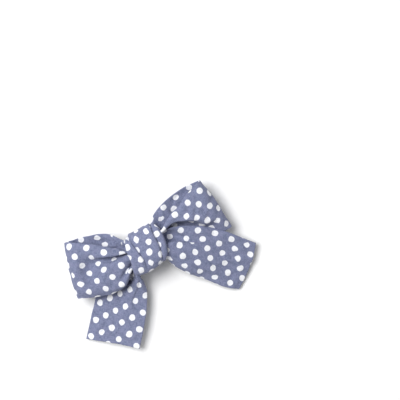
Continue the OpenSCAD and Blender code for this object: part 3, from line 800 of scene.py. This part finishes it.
class Graph:
    """A few words for building a node material."""

    def __init__(self, name):
        self.material = bpy.data.materials.new(name)
        self.material.use_nodes = True
        self.tree = self.material.node_tree
        self.tree.nodes.clear()
        self.shader = self.node("ShaderNodeBsdfPrincipled")
        out = self.node("ShaderNodeOutputMaterial")
        self.tree.links.new(self.shader.outputs["BSDF"], out.inputs["Surface"])

    def node(self, kind, inputs=None, **settings):
        n = self.tree.nodes.new(kind)
        for key, value in settings.items():
            setattr(n, key, value)
        for key, value in (inputs or {}).items():
            self.put(n, key, value)
        return n

    def put(self, n, key, value):
        if isinstance(value, Value):
            self.tree.links.new(value.socket, n.inputs[key])
        else:
            n.inputs[key].default_value = value

    def value(self, kind, inputs, output=0, **settings):
        return Value(self, self.node(kind, inputs, **settings).outputs[output])

    def range(self, value, low, high, out_low=0.0, out_high=1.0):
        inputs = {"Value": value, "From Min": low, "From Max": high, "To Min": out_low, "To Max": out_high}
        return self.value("ShaderNodeMapRange", inputs, interpolation_type="SMOOTHSTEP")

    def noise(self, place, scale, detail=2.0, rough=0.5, output=0):
        inputs = {"Vector": place, "Scale": scale, "Detail": detail, "Roughness": rough}
        return self.value("ShaderNodeTexNoise", inputs, output)

    def mix(self, factor, a, b):
        return self.value("ShaderNodeMix", {0: factor, 6: a, 7: b}, 2, data_type="RGBA")

    def parts(self, kind, of):
        """The first two numbers of a colour or a place."""
        n = self.node(kind, {0: of})
        return Value(self, n.outputs[0]), Value(self, n.outputs[1])

    def cloth_place(self):
        """Millimetres across and along the cloth: the pair, and each of them."""
        uv = self.value("ShaderNodeUVMap", {}, uv_map="Cloth")
        return uv, *self.parts("ShaderNodeSeparateXYZ", uv)

    def row_place(self):
        """Millimetres in the row frame."""
        coord = self.value("ShaderNodeTexCoord", {}, "Object")
        return self.value("ShaderNodeVectorMath", {0: coord, 1: (1 / MM,) * 3}, operation="MULTIPLY")

    def threads(self, u, s, across, along):
        """Noise drawn out along the threads."""
        return self.noise(self.value("ShaderNodeCombineXYZ", {0: u * across, 1: s * along}), 1.0)

    def bump(self, height, strength, distance, under=None):
        inputs = {"Height": height, "Strength": strength, "Distance": distance}
        if under is not None:
            inputs["Normal"] = under
        return self.value("ShaderNodeBump", inputs)

    def finish(self, **sockets):
        names = dict(color="Base Color", rough="Roughness", metal="Metallic", normal="Normal", sheen="Sheen Weight",
                     sheen_rough="Sheen Roughness", sheen_tint="Sheen Tint", specular="Specular IOR Level")
        for key, value in sockets.items():
            self.put(self.shader, names[key], value)
        return self.material


def srgb(*rgb):
    """A colour from its screen values, 0 to 255."""
    return *(c / 12.92 if c <= 0.04045 else ((c + 0.055) / 1.055) ** 2.4 for c in (v / 255 for v in rgb)), 1


DOT_R = 1.47  # a printed dot's radius
DOT_BLUR = 0.12  # half the width of its edge
DOT_DRIFT = 0.7  # how far the print strays from its lattice
WEAVE = 0.42  # from one thread of the weave to the one after next


def dotted_cotton(name, near, far=None, split=27.0):
    """Slate-blue plain weave printed with round white dots.
    near and far: where one dot lies on the flat cloth and the steps to the next ones, [origin, step, step], either
    side of the split, a line along the cloth that is out of sight."""
    g = Graph(name)
    place, u, s = g.cloth_place()
    stray = g.parts("ShaderNodeSeparateColor", g.noise(place, 0.16, 1.0, output="Color"))
    x, y = (a + (b - 0.5) * DOT_DRIFT for a, b in zip((u, s), stray))

    def distance(lattice):
        """Distance to the nearest point of a lattice."""
        (ox, oy), (ax, ay), (bx, by) = lattice
        det = ax * by - ay * bx
        dx, dy = x - ox, y - oy
        p, q = ((dx * kx + (dy * ky + 0.5)).math("FRACT") - 0.5
                for kx, ky in ((by / det, -bx / det), (-ay / det, ax / det)))
        rx, ry = p * ax + q * bx, p * ay + q * by
        return (rx * rx + ry * ry).math("SQRT")

    away = distance(near)
    if far is not None:
        beyond = u.math("GREATER_THAN", split)
        away = away + (distance(far) - away) * beyond
    away = away + (g.noise(place, 2.2) - 0.5) * 0.3
    dot = g.range(away, DOT_R + DOT_BLUR, DOT_R - DOT_BLUR)

    threads = (g.threads(u, s, 4.6, 0.55) + g.threads(u, s, 0.55, 4.6)) * 0.5
    blotch = g.noise(place, 0.5, 3.0)
    heather = threads + (blotch - 0.5) * 0.25
    blue = g.mix(g.range(heather, 0.3, 0.7), srgb(96, 103, 132), srgb(141, 148, 176))
    blue = g.mix(g.range(blotch, 0.35, 0.65, 0.0, 0.5), blue, g.mix(0.5, blue, srgb(122, 118, 152)))
    pale = g.mix(g.range(threads, 0.35, 0.6), srgb(226, 228, 236), srgb(246, 247, 251))
    colour = g.mix(dot, blue, pale)

    crossings = (u * (2 * math.pi / WEAVE)).math("SINE") * (s * (2 * math.pi / WEAVE)).math("SINE")
    rumpled = g.bump(g.noise(place, 0.4), 0.25, 0.0005)
    normal = g.bump(crossings * 0.5 + threads * 1.6, 0.4, 0.00008, rumpled)
    return g.finish(color=colour, rough=g.range(heather, 0.3, 0.7, 0.92, 0.8), normal=normal, sheen=0.12,
                    sheen_rough=0.45, sheen_tint=(0.85, 0.88, 1, 1), specular=0.2)


def grosgrain(name):
    """Ribbed ribbon: a fine cord across it at every rib."""
    g = Graph(name)
    _, u, s = g.cloth_place()
    ribs = (s * (2 * math.pi / RIB)).math("SINE")
    threads = g.threads(u, s, 5.0, 1.2)
    colour = g.mix(g.range(ribs * 0.22 + threads, 0.25, 0.85), srgb(62, 70, 100), srgb(112, 121, 154))
    normal = g.bump(ribs + threads * 0.7, 0.8, 0.00012)
    return g.finish(color=colour, rough=0.62, normal=normal, sheen=0.15, specular=0.35)


def felted(name):
    g = Graph(name)
    place, _, _ = g.cloth_place()
    fuzz, mat = g.noise(place, 3.0, 5.0, 0.7), g.noise(place, 0.5, 3.0)
    colour = g.mix(g.range(fuzz + mat * 0.6, 0.55, 1.05), srgb(70, 77, 104), srgb(108, 116, 146))
    normal = g.bump(fuzz + mat, 0.8, 0.0004)
    return g.finish(color=colour, rough=0.96, normal=normal, sheen=0.4, sheen_rough=0.6, specular=0.15)


def nickel(name, drawn=(1, 1, 1)):
    """Bright plated steel: soft rolling marks, small scuffs and a warm tint where the plate is thin."""
    g = Graph(name)
    place = g.row_place()
    grain = g.noise(g.value("ShaderNodeVectorMath", {0: place, 1: drawn}, operation="MULTIPLY"), 2.4, 4.0, 0.6)
    scuffs = g.range(g.noise(place, 1.1, 6.0, 0.75), 0.6, 0.72)
    colour = g.mix(g.noise(place, 0.25), srgb(206, 204, 198), srgb(226, 225, 222))
    colour = g.mix(scuffs * 0.15, colour, srgb(160, 157, 150))
    rough = g.range(grain, 0.3, 0.7, 0.2, 0.27) + scuffs * 0.08
    return g.finish(color=colour, rough=rough, metal=1.0, normal=g.bump(grain, 0.06, 0.00005))


def set_glue(name):
    g = Graph(name)
    cloud = g.noise(g.row_place(), 0.7, 3.0)
    return g.finish(color=g.mix(cloud, srgb(222, 214, 196), srgb(238, 234, 222)),
                    rough=g.range(cloud, 0.3, 0.7, 0.22, 0.38), normal=g.bump(cloud, 0.3, 0.0003), specular=0.5)


def twisted_thread(name):
    g = Graph(name)
    inputs = {"Vector": g.row_place(), "Scale": 1.4, "Distortion": 0.6, "Detail": 1.0}
    twist = g.value("ShaderNodeTexWave", inputs, "Fac", bands_direction="DIAGONAL")
    return g.finish(color=g.mix(twist, srgb(92, 100, 134), srgb(150, 158, 190)), rough=0.8,
                    normal=g.bump(twist, 0.5, 0.00006), sheen=0.2)


# ---- Looks and bodies ----

cotton_left = dotted_cotton("cotton_left_loop", [(1.4, 3.6), (4.75, -2.55), (-0.8, 8.2)],
                            [(54, 9.2), (4.4, -2.8), (-0.1, 8)], 40)
cotton_right = dotted_cotton("cotton_right_loop", [(4.1, 11.5), (4.3, -3.6), (-0.3, 7.6)],
                             [(54.5, -9.7), (3.9, -3.8), (0.7, 8)], 14)
cotton_tail_left = dotted_cotton("cotton_left_tail", [(7.9, -21.3), (4.7, -3.1), (-0.5, 8.1)])
cotton_tail_right = dotted_cotton("cotton_right_tail", [(57.6, -39), (4.3, -2.9), (-0.3, 8)])
cotton_knot = dotted_cotton("cotton_knot", [(13.8, 20.2), (-1.5, 4.5), (5.2, 2.9)])
ribbed = grosgrain("ribbon_grosgrain")
for obj, material, body, node, slot in (
        (left_loop, cotton_left, "bow", "left_loop", "dotted_cotton"),
        (right_loop, cotton_right, "bow", "right_loop", "dotted_cotton"),
        (left_tail, cotton_tail_left, "bow", "left_tail", "dotted_cotton"),
        (right_tail, cotton_tail_right, "bow", "right_tail", "dotted_cotton"),
        (wrap, cotton_knot, "bow", "knot_wrap", "dotted_cotton"),
        (core, cotton_knot, "bow", "knot_core", "dotted_cotton"),
        (lining_above, ribbed, "bow", "top_lining", "grosgrain"),
        (lining_inside, ribbed, "bow", "grip_lining", "grosgrain"),
        (lining_below, ribbed, "lower_jaw", "bottom_lining", "grosgrain"),
        (felt, felted("wool_felt"), "bow", "felt_pad", "felt"),
        (glue, set_glue("set_glue"), "bow", "glue_film", "glue"),
        (tacking, twisted_thread("sewing_thread"), "bow", "tacking_stitches", "thread")):
    obj.data.materials.append(material)
    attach(obj, body)
    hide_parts(node)

# The spring wire gets the plated steel finish and keeps the shape it is wound to.
spring.data.materials.append(nickel("spring_steel"))
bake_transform(spring)
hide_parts("torsion_spring")

EASED = 0.09  # how far the clip's edges are eased
steel = nickel("nickel_plate", (0.15, 2.2, 1.0))
for node in ("clip_top_jaw", "clip_bottom_jaw", "hinge_pin"):
    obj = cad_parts[node]
    obj.data.materials.clear()
    obj.data.materials.append(steel)
    if node.startswith("clip"):
        bevel = obj.modifiers.new("eased_edges", "BEVEL")
        bevel.width = EASED * MM
        bevel.segments = 2
        bevel.limit_method = "ANGLE"
        bevel.angle_limit = math.radians(40)


# ---- Floor, light and camera ----

HALF_FLOOR = 3  # metres from the middle to each side
SKY = 0.4  # strength of the light from all round
LAMP_FAR, LAMP_SIZE, LAMP_POWER = 1.1, 0.55, 11.8  # the one lamp: metres away, metres wide, watts
LAMP_LEFT, LAMP_BACK = 0.42, 0.2  # its place, for each metre of height
LOOK_AT = (0.0323, 0.0103, 0.01)
CAMERA_FAR, VIEW_WIDTH = 0.9, 0.188  # metres above that place, and metres of table across the picture
SENSOR = 36
TURN = math.radians(-25)  # the photograph's picture is turned this far from the bow

floor_mesh = bpy.data.meshes.new("floor")
floor_mesh.from_pydata([(x * HALF_FLOOR, y * HALF_FLOOR, 0) for x, y in ((-1, -1), (1, -1), (1, 1), (-1, 1))],
                       [], [(0, 1, 2, 3)])
floor_mesh.materials.append(Graph("white_table").finish(color=(0.93, 0.93, 0.93, 1), rough=0.9, specular=0.1))
floor = bpy.data.objects.new("floor", floor_mesh)
bpy.context.scene.collection.objects.link(floor)

scene = bpy.context.scene
world = bpy.data.worlds.new("studio")
scene.world = world
world.use_nodes = True
sky = world.node_tree.nodes["Background"].inputs
sky["Color"].default_value = (1, 1, 1, 1)
sky["Strength"].default_value = SKY

right_way = np.array([math.cos(TURN), math.sin(TURN), 0])
up_way = np.array([-math.sin(TURN), math.cos(TURN), 0])
lamp_data = bpy.data.lights.new("key", "AREA")
lamp_data.size = LAMP_SIZE
lamp_data.energy = LAMP_POWER
lamp = bpy.data.objects.new("key", lamp_data)
lamp.location = (unit(-LAMP_LEFT * right_way + LAMP_BACK * up_way + (0, 0, 1.0)) * LAMP_FAR).tolist()
lamp.rotation_euler = (-Vector(lamp.location)).to_track_quat("-Z", "Y").to_euler()
scene.collection.objects.link(lamp)

camera_data = bpy.data.cameras.new("camera")
camera_data.sensor_width = SENSOR
camera_data.lens = SENSOR * CAMERA_FAR / VIEW_WIDTH
camera = bpy.data.objects.new("camera", camera_data)
camera.location = Vector(LOOK_AT) + Vector((0, 0, CAMERA_FAR))
camera.rotation_euler = (0, 0, TURN)
scene.collection.objects.link(camera)
scene.camera = camera
scene.view_settings.view_transform = "Standard"
